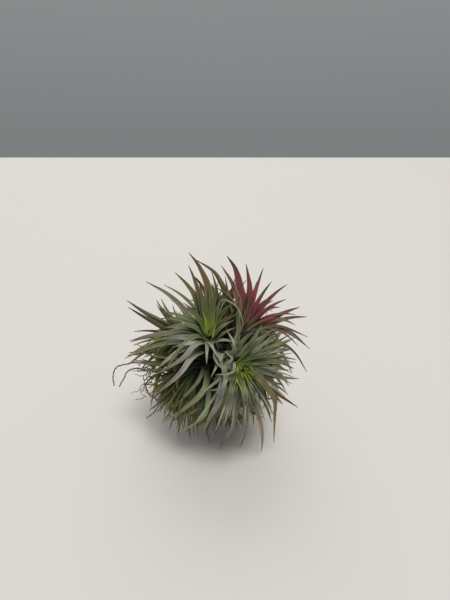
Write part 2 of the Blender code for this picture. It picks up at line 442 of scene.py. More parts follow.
def leaf_material(name):
    """Living leaf: fine lines along the blade, a frost of tiny scale hairs, pale thin edges.

    The grain is millimetres across the blade, millimetres along it, and a shift of the blade's own.
    """
    n = Nodes(name)
    tint = n.add("Attribute", attribute_name="tint")
    grain = n.add("Attribute", attribute_name="grain").outputs["Vector"]
    blade = n.add("SeparateXYZ", {0: n.add("Attribute", attribute_name="blade").outputs["Vector"]})
    along, across, over = blade.outputs
    edge = n.math("POWER", n.math("ABSOLUTE", across), 4.0)
    base = n.span(along, 0.0, 0.22, 1.0, 0.0)

    lines = n.noise(grain, (5.0, 0.25, 1.0), 3.0)
    blotch = n.noise(grain, (0.5, 0.16, 1.0), 4.0)
    hairs = n.add("TexVoronoi", {"Vector": n.scaled(grain, (4.6, 2.4, 1.0)), "Scale": 1.0})
    drift = n.noise(grain, (1.1, 0.5, 1.0), 2.0)
    # Broad stripes along the blade: partly the leaf's own ribbing, partly painted highlight and shade, the
    # light and dark streaks of a channelled blade.
    ribs_and_painted_streaks = n.noise(grain, (1.7, 0.05, 1.0), 1.0)

    shade = n.span(lines.outputs[0], 0.3, 0.7, 0.7, 1.16)
    shade = n.math("MULTIPLY", shade, n.span(ribs_and_painted_streaks.outputs[0], 0.35, 0.65, 0.68, 1.14))
    colour = n.mix(1.0, tint.outputs["Color"], n.grey(shade), "MULTIPLY")
    warm = n.mix(1.0, colour, WARM, "MULTIPLY")
    colour = n.mix(n.span(blotch.outputs[0], 0.42, 0.7, 0.0, 0.75), colour, warm)

    fleck = n.span(hairs.outputs["Distance"], 0.42, 0.16)
    patchy = n.span(drift.outputs[0], 0.35, 0.62, 0.25, 1.0)
    below = n.span(over, 0.0, 1.0, 0.25, 0.0)
    frost = n.math("MULTIPLY", n.math("ADD", tint.outputs["Alpha"], below), n.math("SUBTRACT", 1.0, base))
    coat = n.math("MULTIPLY", n.math("MULTIPLY", fleck, patchy), frost)
    coat = n.math("MULTIPLY", coat, 0.34, clamp=True)
    colour = n.mix(coat, colour, FROST)
    colour = n.mix(n.math("MULTIPLY", edge, n.span(frost, 0.0, 1.0, 0.2, 0.85)), colour, PALE_EDGE)

    height = n.math("ADD", n.math("MULTIPLY", fleck, frost), n.math("MULTIPLY", lines.outputs[0], 0.9))
    bump = n.add("Bump", {"Strength": 0.55, "Distance": 0.00012, "Height": height})
    n.put(colour, n.shader.inputs["Base Color"])
    n.put(n.span(coat, 0.0, 0.6, 0.52, 0.8), n.shader.inputs["Roughness"])
    n.put(bump.outputs[0], n.shader.inputs["Normal"])
    n.shader.inputs["Specular IOR Level"].default_value = 0.3
    n.shader.inputs["Subsurface Weight"].default_value = 0.12
    n.shader.inputs["Subsurface Radius"].default_value = (0.8, 0.9, 0.3)
    n.shader.inputs["Subsurface Scale"].default_value = 0.001
    n.shader.inputs["Sheen Weight"].default_value = 0.05
    n.shader.inputs["Sheen Roughness"].default_value = 0.45
    return n.material


def bark_material(name, dark, light):
    """Dry woody tissue: dark, fibrous and rough."""
    n = Nodes(name)
    place = n.add("TexCoord").outputs["Object"]
    fibre = n.add("TexNoise", {"Vector": place, "Scale": 900.0, "Detail": 6.0, "Roughness": 0.7})
    patch = n.add("TexNoise", {"Vector": place, "Scale": 160.0, "Detail": 3.0})
    mixed = n.math("MULTIPLY", n.math("ADD", fibre.outputs[0], patch.outputs[0]), 0.5)
    colour = n.mix(n.span(mixed, 0.35, 0.65), (*linear(dark), 1), (*linear(light), 1))
    bump = n.add("Bump", {"Strength": 0.8, "Distance": 0.0002, "Height": fibre.outputs[0]})
    n.put(colour, n.shader.inputs["Base Color"])
    n.put(n.span(fibre.outputs[0], 0.3, 0.7, 0.75, 0.95), n.shader.inputs["Roughness"])
    n.put(bump.outputs[0], n.shader.inputs["Normal"])
    return n.material


LEAF = leaf_material("leaf_skin")
ROOT = bark_material("dry_root", "2e2117", "6a543c")
WOOD = bark_material("rootstock_bark", "20170f", "55432f")


# ------------------------------ where leaves may grow


REACH = np.array([list(c) for c in cad_box]) / MM
MIDDLE = REACH.mean(axis=0)
BOX_GAP = 0.5
GROUND_GAP = 0.6

# The round body of the clump, which mostly long leaves stand out of.
CLUMP_CENTRE = np.array((1, 0, 46))
CLUMP_RADII = np.array((43, 46, 39))

# Where the roots hang free on the left, below the leaves.
ROOT_SPACE = np.array(((-60, -46, -5), (-31, 20, 45)))

# Gaps that no filling leaf crosses: dark ones between the rosettes, and notches in the outline. Each
# is given by its deep end, its mouth and its radius.
HOLLOWS = (
    ((-9, -12, 45), (-7, -46, 63), 6.0),
    ((-2, -12, 45), (-1, -46, 63), 5.5),
    ((6, -24, 63), (6, -46, 74), 3.2),
    ((24, -2, 72), (20, -40, 90), 12.0),
    ((14, 12, 84), (11, -30, 93), 8.0),
    ((-1, -19, 67), (1, -44, 79), 4.5),
    ((-4, -24, 42), (-8, -44, 45), 6.0),
    ((-14, 30, 68), (-12, -4, 80), 6.5),
    ((15, -16, 63), (14, -40, 74), 2.6),
)


def is_inside(point):
    """Whether a point lies well inside the CAD model's box, above the ground."""
    low, high = REACH[0] + BOX_GAP, REACH[1] - BOX_GAP
    return bool((point > (low[0], low[1], GROUND_GAP)).all() and (point < high).all())


def stands_out(point, allowed):
    """Whether a point lies further out than the allowed share of the clump's radius."""
    return np.linalg.norm((point - CLUMP_CENTRE) / CLUMP_RADII) > allowed


def is_among_roots(spot):
    low, high = ROOT_SPACE
    return bool((spot > low).all() and (spot < high).all())


def crosses_hollow(line):
    for deep, mouth, radius in HOLLOWS:
        deep, mouth = np.array(deep, float), np.array(mouth, float)
        way = mouth - deep
        share = np.clip((line - deep) @ way / (way @ way), 0, 1)
        if (np.linalg.norm(line - deep - share[:, None] * way, axis=1) < radius).any():
            return True
    return False


# ------------------------------ the rosettes' leaves


CROWN_HEIGHT = 9.0  # from the foot of a bulb to where its leaves part
SAG = 0.18
LINE_POINTS = 9
BURIED = 3  # the first points of a leaf's line, deep in its own rosette
# How wide and how deep the view into an open rosette's heart stays free.
VIEW_CONE = math.cos(math.radians(38))
VIEW_DEPTH = 45


@dataclass
class Rosette:
    """One rosette: how many leaves fill it, how long they are, and which looks they have.

    A tuft is one that has no heart in the CAD model.
    """

    name: str
    slot: str
    looks: tuple  # of the inner, middle and outer leaves, each the names to choose from
    leaves: int = 60
    lengths: tuple = (15, 34, 38)  # of the innermost, middle and outermost leaves
    width: float = 3.8
    spread: float = 98.0  # degrees that the outermost leaves bend away from the axis
    opening: float = 1.1  # under 1 where the leaves bend away early, over 1 where they stand close
    clear: float = 5.0  # degrees that the filling leaves keep off the directions of the others
    sag: float = SAG  # how far its leaves rise before they droop, as a share of their length
    proud: float = 1.0  # how far out its leaves may reach, as a share of the clump's radius
    sweep: tuple = (0, 0, 0)  # how far all its leaves lean aside, in leaf lengths
    is_open: bool = False  # whether the view into its heart stays free of other rosettes' leaves
    pull: tuple = (0, 0, 0)  # how far its young leaves reach aside, to the light, in leaf lengths
    foot: tuple = ()  # a tuft's own place and direction, where the CAD model has no heart for it
    axis: tuple = ()

    def __post_init__(self):
        self.random = np.random.default_rng(SEED)
        self.is_tuft = bool(self.foot)
        if self.is_tuft:
            self.foot, self.axis = np.array(self.foot, float), unit(np.array(self.axis))
        else:
            self.foot, self.axis = rosette_line(self.name)
        self.crown = self.foot + self.axis * CROWN_HEIGHT
        self.sideways = unit(np.cross(self.axis, (0.3, 0.2, 1.0)))
        self.third = np.cross(self.axis, self.sideways)

    def outward(self, bearing):
        return self.sideways * math.cos(bearing) + self.third * math.sin(bearing)

    def line(self, tip, arch, share, sag=SAG):
        """A leaf's line from the bulb, bent over to tip, and the direction across it.

        It starts the further down and out on the bulb the greater share is.
        """
        offset = tip - self.foot
        outward = unit(offset - self.axis * (offset @ self.axis))
        height, radius = 1.5 - 8.0 * share, 0.4 + 3.0 * share
        start = self.crown + self.axis * height + outward * radius
        chord = tip - start
        length = np.linalg.norm(chord)
        bend = math.acos(np.clip(self.axis @ chord / length, -1, 1)) * arch
        leaving = self.axis * math.cos(bend) + outward * math.sin(bend)
        knee = start + leaving * length * 0.5 + UP * length * sag
        return bent_line(start, knee, tip, LINE_POINTS), np.cross(self.axis, outward)

    def is_hidden_by(self, line):
        """Whether a leaf passes in front of this rosette's heart."""
        offset = line[BURIED:] - self.crown
        distance = np.linalg.norm(offset, axis=1)
        return bool(((offset @ self.axis > distance * VIEW_CONE) & (distance < VIEW_DEPTH)).any())


ROSETTES = (
    Rosette(
        "upper", "silver_green_leaf", ("bud core", "fresh core sage", "sage plum sage sage"),
        leaves=48, lengths=(8, 24, 27), width=4.4, clear=9, is_open=True,
    ),
    Rosette(
        "lime", "lime_leaf", ("lime", "young", "lit silver silver"),
        leaves=240, lengths=(10, 17, 33), width=2.6, spread=88, opening=0.95, sag=0.2, proud=1.06,
        is_open=True, pull=(-0.15, -0.1, 0.0),
    ),
    Rosette(
        "red", "red_leaf", ("blush", "red blush rust", "sage rust"),
        leaves=30, lengths=(20, 31, 34), width=5.4, spread=86, proud=1.25,
    ),
    Rosette(
        "low", "green_leaf", ("dark", "dark moss", "dark moss deep"),
        leaves=150, lengths=(15, 32, 36), width=3.0, spread=84, sag=0.22, sweep=(-0.3, -0.05, 0.0),
    ),
    Rosette(
        "left", "olive_leaf", ("dark", "olive moss arch", "sage olive moss"),
        leaves=64, lengths=(15, 28, 34), width=4.2, proud=1.06,
    ),
    Rosette(
        "pup", "silver_green_leaf", ("silver", "silver", "silver"),
        leaves=9, lengths=(5, 8, 10), width=2.8, spread=95, is_open=True,
    ),
    Rosette(
        "back_top", "green_leaf", ("fresh", "bronze fresh", "sage"),
        leaves=34, lengths=(14, 24, 27), width=4.4, spread=80,
    ),
    Rosette("back_low", "green_leaf", ("fresh", "sage fresh", "olive sage"), proud=1.05),
    Rosette(
        "right_tuft", "green_leaf", ("dark", "sage lit", "sage silver arch"),
        leaves=64, lengths=(12, 25, 31), width=3.4, spread=88,
        foot=(12, -4, 46), axis=(0.85, -0.5, 0.1),
    ),
    Rosette(
        "under_tuft", "green_leaf", ("dark", "olive moss", "olive sage"),
        leaves=46, lengths=(12, 28, 32), width=3.1, spread=80,
        foot=(3, -6, 38), axis=(0.1, -0.7, -0.7),
    ),
    Rosette(
        "back_tuft", "green_leaf", ("dark", "sage olive", "sage arch"),
        leaves=46, lengths=(12, 26, 30), width=3.4, spread=84,
        foot=(8, 8, 42), axis=(0.8, 0.5, -0.35),
    ),
    Rosette(
        "left_tuft", "green_leaf", ("dark", "moss dark", "moss dark olive"),
        leaves=76, lengths=(12, 26, 29), width=3.6, spread=86, sag=0.24,
        foot=(-8, 0, 40), axis=(-0.75, -0.5, -0.45),
    ),
    Rosette(
        "belly_tuft", "green_leaf", ("dark", "olive moss", "dark olive moss"),
        leaves=60, lengths=(22, 27, 29), width=3.4, spread=70, proud=1.6,
        foot=(2, 8, 36), axis=(0.0, 0.15, -1.0),
    ),
)


@dataclass
class Shown:
    """A short leaf that is placed by where it ends, mostly because it shows from the open side."""

    tip: tuple
    look: str
    width: float = 3.6
    arch: float = 0.45  # how far it leans at its base already, as a share of the way to its tip
    share: float = 0.5  # from 0, inside the rosette, to 1, outside
    over: tuple = ()  # places that it passes on the way, where it doesn't simply bend over
    across: tuple = ()  # the direction across its blade, where it doesn't turn to the open side


SHOWN = {
    "upper": (
        Shown((-21, -12, 67), "plum", 4.2, over=((-14, -14, 68),)),
        Shown((-24, -22, 65), "plum", 5.0, over=((-12, -24, 67),)),
        Shown((-17, -28, 64), "silver", 4.0, over=((-8, -28, 66),)),
        Shown((-25, -30, 51), "mauve", 4.4, over=((-6, -32, 67), (-12, -36, 62))),
        Shown((-30, -20, 62), "sage", 4.2),
        Shown((-1, -38, 61), "silver", 3.8, 0.75),
        Shown((-20, -34, 55), "sage", 4.0),
        Shown((4, -38, 64), "pale", 4.6, 0.75, over=((1, -32, 67), (3, -36, 65))),
        Shown((-11, 2, 94), "bronze", 4.6, 0.5),
        Shown((-9, 2, 88), "fresh", 4.2, 0.6),
        Shown((-5, -10, 88), "fresh", 5.2, 0.8, 0.1),
        Shown((-1, -12, 87), "core", 5.6, 0.8, 0.1),
        Shown((3, -13, 86), "core", 5.8, 0.8, 0.1),
        Shown((8, -13, 84), "core", 5.8, 0.7, 0.2),
        Shown((11, -14, 80), "core", 5.4, 0.6, 0.3),
        Shown((13, -17, 76), "fresh", 4.8, 0.6, 0.4, over=((6, -18, 72),)),
        Shown((-3, -18, 68), "bud", 3.0, 0.9, 0.0),
        Shown((0, -19, 69), "bud", 3.0, 0.9, 0.0),
        Shown((2, -17, 70), "bud", 3.0, 0.9, 0.0),
        Shown((11, -20, 74), "sage", 4.2, 0.6, 0.4, over=((5, -20, 70),)),
        Shown((12, -24, 72), "sage", 4.0, 0.6, 0.5, over=((7, -23, 69),)),
        Shown((13, -30, 67), "silver", 3.8, 0.6, 0.5, over=((7, -29, 68),)),
    ),
    "lime": (
        Shown((8, -30, 73), "silver", 4.4, 0.8, 0.8, over=((11, -32, 67),)),
        Shown((14, -27, 74), "silver", 4.4, 0.8, 0.9),
        Shown((22, -24, 68), "sage", 3.4, 0.6),
        Shown((26, -26, 65), "silver", 3.4, 0.6),
        Shown((31, -20, 62), "sage", 3.4, 0.6),
        Shown((35, -24, 58), "sage", 3.2),
        Shown((35, -28, 52), "sage", 3.2),
        Shown((34, -30, 48), "sage", 3.2),
        Shown((37, -26, 38), "sage", 3.4),
        Shown((29, -30, 33), "sage", 3.4),
        Shown((30, -24, 21), "olive", 3.0),
        Shown((21, -26, 21), "plum", 3.4),
        Shown((12, -30, 24), "mauve", 3.6),
        Shown((8, -28, 22), "sage", 3.4),
        Shown((-4, -22, 14), "sage", 4.6),
        # The pearl leaf below carries a painted highlight along its streak, over its own silvery colour.
        Shown((-5, -22, 11), "pearl", 5.0, 0.6, 0.9, over=((6, -40, 52), (4, -38, 41), (0, -33, 30))),
        Shown((3, -34, 33), "sage", 4.2, 0.6, 0.7, over=((10, -43, 52), (8, -41, 45))),
        Shown((18, -28, 23), "lit", 4.2, 0.6, 0.7, over=((15, -43, 51), (16, -40, 43))),
        Shown((25, -12, 68), "sage", 3.6, 0.8),
        Shown((30, -12, 66), "lit", 3.6, 0.8),
        Shown((34, -12, 62), "sage", 3.6, 0.8),
        Shown((38, -14, 57), "silver", 3.4, 0.8),
        Shown((29, -16, 61), "sage", 3.4, 0.8),
        Shown((7, -44, 70), "pale", 5.2, 0.8, 0.3, over=((8, -40, 62), (10, -43, 66))),
        Shown((3, -44, 59), "pale", 3.2, 0.8, 0.3, over=((11, -40, 62), (10, -42, 59))),
    ),
    "pup": (
        Shown((5, -40, 63), "pale", 7.0, 1.0, 0.2, over=((5, -29, 61),), across=(1, 0, -0.1)),
        Shown((6, -43, 61), "pale", 8.5, 1.0, 0.2, over=((4, -33, 60),), across=(1, 0, -0.12)),
        Shown((1, -41, 56), "pale", 3.4, 1.0, 0.4, over=((3, -38, 59),)),
        Shown((-1, -42, 50), "silver", 4.6, 0.8, 0.4, over=((7, -36, 55), (7, -44, 56), (5, -45, 53))),
        Shown((14, -14, 71), "sage", 5.0, 0.8, 0.7, over=((11, -21, 60), (13, -17, 65))),
        Shown((21, -20, 69), "lit", 4.4, 0.8, 0.7, over=((12, -22, 60), (16, -22, 65))),
        Shown((26, -18, 66), "sage", 4.0, 0.8, 0.7, over=((13, -23, 58), (19, -22, 63))),
    ),
    "low": (
        # The deep and hay leaves here start near-black: painted shade where they leave the dark hollow.
        Shown((-23, -18, 20), "deep", 2.6, 0.3, 0.8, over=((-4, -25, 48), (-6, -29, 46), (-10, -29, 41))),
        Shown((-25, -23, 19), "hay", 4.4, 0.3, 0.8, over=((-2, -33, 46), (-11, -32, 35))),
        Shown((-18, -20, 11), "hay", 3.8, 0.3, 0.8, over=((-1, -35, 37), (-7, -30, 25))),
        Shown((-20, -22, 37), "dark", 4.0, 0.3, 0.8),
        Shown((-16, -24, 28), "dark", 4.0, 0.3, 0.8),
        Shown((-12, -22, 14), "hay", 4.0, 0.3, 0.8),
        Shown((1, -22, 11), "hay", 3.8, 0.3, 0.9),
        Shown((-27, -20, 34), "deep", 4.2, 0.3, 0.9),
        Shown((-23, -9, 5), "olive", 3.6),
        Shown((-29, -8, 16), "olive", 3.6),
        Shown((-12, -12, 3), "olive", 3.6),
        Shown((-7, -20, 8), "straw", 2.4),
        Shown((-11, -18, 6), "straw", 2.2),
        Shown((-5, -22, 11), "straw", 2.2),
    ),
    "left": (
        Shown((-41, -4, 55), "olive", 3.4),
        Shown((-40, -4, 53), "olive", 3.2),
        Shown((-40, 0, 59), "arch", 3.4),
        Shown((-34, -10, 49), "olive", 3.4),
        Shown((-41, -6, 45), "olive", 3.4),
        Shown((-31, 8, 62), "dark", 3.6),
        Shown((-37, -2, 51), "moss", 3.8, 0.45, 0.6),
        Shown((-38, 3, 47), "dark", 4.6, 0.45, 0.6),
        Shown((-35, 2, 43), "dark", 4.6, 0.45, 0.6),
        Shown((-34, -6, 52), "olive", 3.8, 0.45, 0.6),
        Shown((-33, -6, 45), "moss", 3.8, 0.45, 0.6),
        Shown((-29, -10, 44), "olive", 3.8, 0.45, 0.7),
        Shown((-27, -12, 50), "dark", 4.0, 0.45, 0.7),
        Shown((-23, -16, 48), "sage", 3.8),
        Shown((-32, -12, 40), "olive", 3.4),
        Shown((-22, 20, 66), "dark", 3.4),
        Shown((-43, -6, 48), "moss", 3.4, 0.45, 0.6),
        Shown((-41, -8, 45), "sage", 3.6, 0.45, 0.6),
        Shown((-36, -10, 42), "moss", 3.8, 0.45, 0.7),
        Shown((-31, -12, 41), "dark", 4.0, 0.45, 0.7),
        Shown((-29, -6, 47), "dark", 4.4, 0.45, 0.6),
        Shown((-26, -6, 43), "dark", 4.4, 0.45, 0.6),
    ),
    "red": (
        Shown((27, 14, 89), "red", 5.0, 0.7, 0.1),
        Shown((24, 16, 81), "red", 3.6, 0.8, 0.1),
        Shown((32, 16, 81), "red", 4.6, 0.8, 0.1),
        Shown((40, 14, 80), "red", 5.0, 0.8, 0.2),
        Shown((39, 10, 73), "red", 4.8, 0.8, 0.2),
        Shown((32, -10, 58), "arch", 4.0, 0.5),
        Shown((47, 10, 46), "olive", 3.4, 0.5),
        Shown((22, 4, 76), "rust", 4.4, 0.8, 0.3),
        Shown((32, 4, 72), "blush", 4.0, 0.8, 0.3),
        Shown((36, 2, 66), "rust", 4.0, 0.8, 0.4),
        Shown((29, 8, 80), "red", 4.0, 0.8, 0.1),
        Shown((44, 6, 66), "red", 4.0, 0.6, 0.3),
    ),
    "right_tuft": (
        Shown((30, -8, 63), "sage", 3.8, 0.8, over=((25, -8, 58),)),
        Shown((35, -4, 60), "arch", 3.6, 0.8, over=((27, -5, 58),)),
        Shown((24, -12, 66), "lit", 3.6, 0.8, over=((21, -11, 58),)),
        Shown((39, -14, 56), "olive", 3.4, 0.8, over=((29, -9, 57),)),
        Shown((37, 0, 55), "sage", 3.6, 0.8),
        Shown((40, -2, 52), "olive", 3.4, 0.8),
        Shown((35, 4, 58), "sage", 3.6, 0.8),
        Shown((32, -4, 59), "sage", 3.8, 0.8),
    ),
    "back_tuft": (
        Shown((30, 14, 60), "olive", 4.6, 0.6),
        Shown((36, 12, 55), "sage", 4.4, 0.6),
        Shown((24, 12, 59), "dark", 4.6, 0.7),
    ),
    "back_top": (
        Shown((12, 8, 85), "bronze", 4.4, over=((9, 10, 68),)),
        Shown((0, 11, 88), "dark", 3.6, over=((3, 10, 73), (2, 11, 81))),
        Shown((7, 9, 86), "bronze", 4.0, over=((11, 6, 65), (9, 8, 75))),
        Shown((15, 8, 76), "dark", 4.4, over=((9, 9, 62),)),
        Shown((-10, 8, 87), "fresh", 4.0),
        Shown((-12, 12, 72), "dark", 3.4),
        Shown((-17, 14, 65), "dark", 3.4),
    ),
}

# The looks of each rosette's long leaves, in their order.
LONG_LOOKS = {
    "upper": "plum sage dusk straw silver plum fresh bronze",
    "red": "arch arch rust arch rust blush red blush",
    "lime": "tan amber sage mauve arch sage tan sage",
    "low": "dark dark dark sage dark dark",
    "left": "arch olive olive fresh olive",
    "back_top": "olive olive bronze bronze bronze bronze",
    "back_low": "sage sage sage sage sage sage sage",
}

# The places that some long leaves pass on the way to their tips.
ROUTES = {
    "upper_leaf_01": ((-7, -33, 62), (-13, -41, 57)),
    "upper_leaf_03": ((-7, -13, 68), (-11, -10, 72), (-15, -8, 77), (-22, -7, 83)),
    "upper_leaf_04": ((4, -15, 80), (9, -20, 83), (13, -24, 81)),
    "upper_leaf_07": ((-7, -7, 79), (-11, -6, 86)),
    "upper_leaf_08": ((-1, -5, 82), (-5, -4, 94)),
    "lime_leaf_02": ((22, -36, 53), (26, -35, 47), (30, -32, 38), (31, -27, 25)),
    "back_top_leaf_01": ((9, 9, 67), (8, 10, 75), (5, 11, 82), (1, 12, 88)),
    "red_leaf_01": ((28, -4, 57), (36, -8, 56), (43, -8, 50)),
    "red_leaf_02": ((31, 10, 56), (42, 12, 54)),
    "red_leaf_03": ((14, 7, 70), (12, 9, 78), (10, 11, 83)),
    "red_leaf_04": ((25, 4, 59), (36, 2, 61)),
    "red_leaf_06": ((16, 11, 69), (15, 14, 75), (14, 17, 82), (12, 19, 88)),
    "red_leaf_08": ((19, 9, 66), (20, 11, 73), (20, 13, 80), (19, 14, 86)),
}

# Where a leaf that curls right over goes on, past the tip of its solid.
ROLLED = {"upper_leaf_04": ((15, -28, 75), (13, -28, 70))}

# A blade's width beside its solid's, and beside that the width of some that are broader or narrower.
BLADE_WIDTH = 1.2
BROAD = {
    "upper_leaf_01": 1.2, "upper_leaf_03": 1.4, "upper_leaf_04": 0.38, "upper_leaf_05": 1.2,
    "upper_leaf_06": 1.2, "upper_leaf_07": 1.5, "upper_leaf_08": 1.8, "red_leaf_01": 0.7,
    "red_leaf_02": 0.7, "red_leaf_03": 1.5, "red_leaf_04": 0.75, "red_leaf_05": 1.2, "red_leaf_06": 2.2,
    "red_leaf_07": 1.45, "red_leaf_08": 1.6, "left_leaf_01": 1.4, "left_leaf_04": 1.6,
    "back_top_leaf_01": 1.5,
}

# How far below its solid's near end, and how far out from the rosette's axis, a long blade starts.
START_BELOW, START_OUT = 1.5, 1.2
LEAF_POINT = 0.01  # the size of a CAD leaf's far end, which is a point
SHOWN_THICKNESS = 0.9
LONG_TWIST, SHOWN_TWIST, FILLING_TWIST = 0.35, 0.3, 0.5
LONG_TURNED, SHOWN_TURNED = 0.85, 0.8
SHOWN_POINTS = 14


def breadth(ring):
    """The direction across a cross-section and its width."""
    apart = np.linalg.norm(ring[:, None] - ring[None], axis=2)
    i, j = np.unravel_index(apart.argmax(), apart.shape)
    return unit(ring[i] - ring[j]), apart.max()


def long_leaf(rosette, node, look):
    """The blade that stands for one long CAD leaf, which rises from deeper in the rosette than its solid.

    Returns the direction in which it leaves the rosette.
    """
    rings = rings_of(node, rosette.foot, LEAF_POINT)
    middles = np.array([ring.mean(axis=0) for ring in rings])
    side, width = breadth(rings[2])
    outward = middles[0] - rosette.foot
    outward = unit(outward - rosette.axis * (outward @ rosette.axis))
    if np.cross(rosette.axis, side) @ outward > 0:
        side = -side
    rise = (middles[0] - rosette.foot) @ rosette.axis
    start = rosette.foot + rosette.axis * (rise - START_BELOW) + outward * START_OUT
    way = [ROUTES[node], middles[-1:]] if node in ROUTES else [middles]
    line = np.vstack([start, *way, *ROLLED.get(node, ())])
    twist = rosette.random.uniform(-LONG_TWIST, LONG_TWIST)
    width = width * BLADE_WIDTH * BROAD.get(node, 1.0)
    foliage = Foliage(rosette.random)
    foliage.add(line, side, width, LOOKS[look], SHOWN_THICKNESS, twist=twist, turned=LONG_TURNED)
    foliage.piece(node + "_blade", rosette.slot, [node])
    return unit(middles[-1] - rosette.crown)


def shown_leaf(rosette, group, leaf):
    """A leaf of SHOWN. Returns the direction in which it leaves the rosette."""
    aim = leaf.over[0] if leaf.over else leaf.tip
    line, side = rosette.line(np.array(aim, float), leaf.arch, leaf.share)
    if leaf.over:
        line = through([line[0], *leaf.over, leaf.tip], SHOWN_POINTS)
    turned = SHOWN_TURNED
    if leaf.across:
        side = np.array(leaf.across, float)
        turned = 0.0
    twist = rosette.random.uniform(-SHOWN_TWIST, SHOWN_TWIST)
    group.add(line, side, leaf.width, LOOKS[leaf.look], SHOWN_THICKNESS, twist=twist, turned=turned)
    return unit(line[-1] - rosette.crown)


# A filling leaf's sizes and bends. Its share says how far out in the rosette it grows, from 0 to 1.
LENGTH_SHARES = (0, 0.45, 1)
WIDTH_SHARES, WIDTHS = (0, 0.35, 1), (0.55, 0.95, 1.1)
HEART_SHARE = 0.4  # up to which its leaves count as the heart's
INNER_SHARE, MIDDLE_SHARE = 0.28, 0.6  # up to which they have the inner and the middle looks
LEAST_BEND = 4  # degrees
DROOP = 0.1
FILLING_ARCH = 0.24
FILLING_SECTIONS = 24

# How far filling leaves differ from that by chance, and how often one is tried again until it fits.
BEARING_SHIFT = 0.15  # radians
BEND_SHIFT = 7  # degrees
DRIFT = 0.16
LENGTH_SPAN = (0.84, 1.14)
WIDTH_SPAN = (0.88, 1.12)
TRIES, LESS_BENT, SHORTER = 16, 0.9, 0.93
OUTGROWTH = 0.3  # how much further out than its crown a leaf ends at least, as a share of its length


def filling_tip(rosette, share, outward, drift, bend, length):
    """A filling leaf's tip: bent less until it points out of the clump, then cut to stay within it."""
    reach = np.linalg.norm(rosette.crown - MIDDLE)
    for _ in range(TRIES):
        tip = rosette.crown + unit(rosette.axis * math.cos(bend) + outward * math.sin(bend) + drift) * length
        tip += (np.array(rosette.pull) * (1 - share) + rosette.sweep - UP * DROOP * share) * length
        if np.linalg.norm(tip - MIDDLE) < reach + OUTGROWTH * length:
            bend *= LESS_BENT
        elif not is_inside(tip) or stands_out(tip, rosette.proud):
            length *= SHORTER
        else:
            break
    return tip


def has_room(rosette, tip, line, taken):
    """Whether a filling leaf fits in: off the ways that are taken, the roots, gaps and open hearts."""
    if not is_inside(tip) or is_among_roots(tip) or crosses_hollow(line[BURIED:]):
        return False
    way = unit(tip - rosette.crown)
    if any(way @ other > math.cos(math.radians(rosette.clear)) for other in taken):
        return False
    return not any(other.is_open and other is not rosette and other.is_hidden_by(line) for other in ROSETTES)


def filling_leaf(rosette, group, i, taken):
    """The i-th filling leaf from the middle, one golden angle on, save where there is no room for it."""
    random = rosette.random
    share = (i + 0.5) / rosette.leaves
    outward = rosette.outward(i * GOLDEN_ANGLE + random.uniform(-BEARING_SHIFT, BEARING_SHIFT))
    length = np.interp(share, LENGTH_SHARES, rosette.lengths) * random.uniform(*LENGTH_SPAN)
    opened = (rosette.spread - LEAST_BEND) * share**rosette.opening
    bend = math.radians(LEAST_BEND + opened + random.uniform(-BEND_SHIFT, BEND_SHIFT))
    drift = np.cross(rosette.axis, outward) * random.uniform(-DRIFT, DRIFT)
    width = rosette.width * np.interp(share, WIDTH_SHARES, WIDTHS) * random.uniform(*WIDTH_SPAN)
    twist = random.uniform(-FILLING_TWIST, FILLING_TWIST)
    tip = filling_tip(rosette, share, outward, drift, bend, length)
    line, side = rosette.line(tip, FILLING_ARCH, share, rosette.sag)
    if has_room(rosette, tip, line, taken):
        looks = rosette.looks[0 if share < INNER_SHARE else 1 if share < MIDDLE_SHARE else 2]
        look = LOOKS[random.choice(looks.split())]
        group.add(line, side, width, look, twist=twist, sections=FILLING_SECTIONS)


def rosette_pieces(rosette):
    """All pieces of one rosette. A tuft has no heart, so its filling leaves are all outer ones."""
    nodes = [n for n in sorted(frame["nodes"]) if n.startswith(rosette.name + "_leaf_")]
    looks = LONG_LOOKS.get(rosette.name, "").split()
    taken = [long_leaf(rosette, node, look) for node, look in zip(nodes, looks, strict=True)]
    heart, outer, shown = (Foliage(rosette.random) for _ in range(3))
    for leaf in SHOWN.get(rosette.name, ()):
        taken.append(shown_leaf(rosette, shown, leaf))
    for i in range(rosette.leaves):
        is_hearts = i < rosette.leaves * HEART_SHARE and not rosette.is_tuft
        filling_leaf(rosette, heart if is_hearts else outer, i, taken)
    if not rosette.is_tuft:
        heart.piece(rosette.name + "_heart_leaves", "heart", [rosette.name + "_heart"])
    outer.piece(rosette.name + "_outer_leaves", rosette.slot)
    if shown.count:
        shown.piece(rosette.name + "_shown_leaves", rosette.slot)


THATCH_LEAVES = 260
THATCH_START = 4  # how far from the knot's middle they begin
THATCH_REACH = np.array((33, 29, 37))
THATCH_SHIFT = np.array((-3, 0, -3))
THATCH_LENGTHS = (0.5, 0.95)
THATCH_WIDTHS = (4.5, 7.0)
THATCH_FLOOR = 3
THATCH_POINTS, THATCH_SECTIONS = 7, 14


